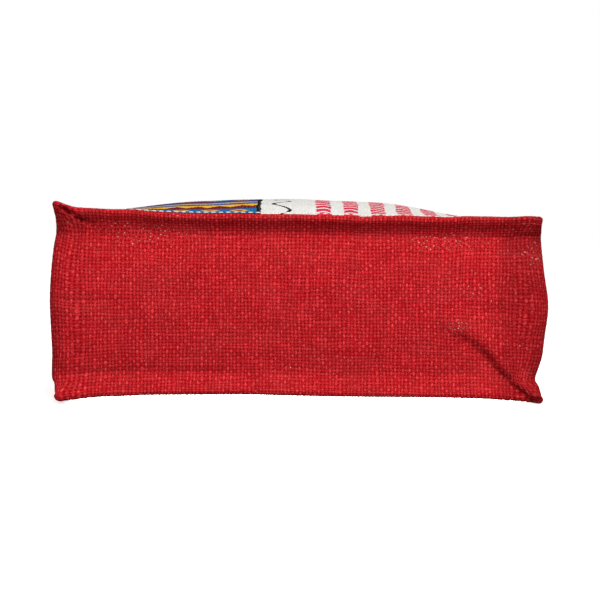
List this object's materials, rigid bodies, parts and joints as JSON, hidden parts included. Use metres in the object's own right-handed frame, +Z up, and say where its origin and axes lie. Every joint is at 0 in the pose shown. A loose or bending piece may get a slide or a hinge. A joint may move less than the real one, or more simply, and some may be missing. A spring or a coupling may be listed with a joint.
{
  "type": "burlap shopping bag",
  "caption": "Gusseted burlap tote bag lying on its back panel: red woven gusset and base, pale panels, hemmed open mouth and webbing loop handles.",
  "frame": {"origin": "on the surface under the lying bag, below the middle of its back panel", "axes": "+Z up, from the back panel to the front panel; +Y from the base to the mouth and on along the handles; +X to the right along the base when it is seen from outside with the front panel on top"},
  "size_m": [0.3128, 0.3962, 0.1277],
  "materials": {
    "red_jute": "matt coarse plain weave, dyed red",
    "off_white_jute": "matt plain weave, bleached",
    "red_webbing": "matt close-woven tape"
  },
  "bodies": {
    "root": {"gusset": "red_jute", "front_panel": "off_white_jute", "back_panel": "off_white_jute", "front_handle": "red_webbing", "back_handle": "red_webbing"}
  },
  "joints": []
}
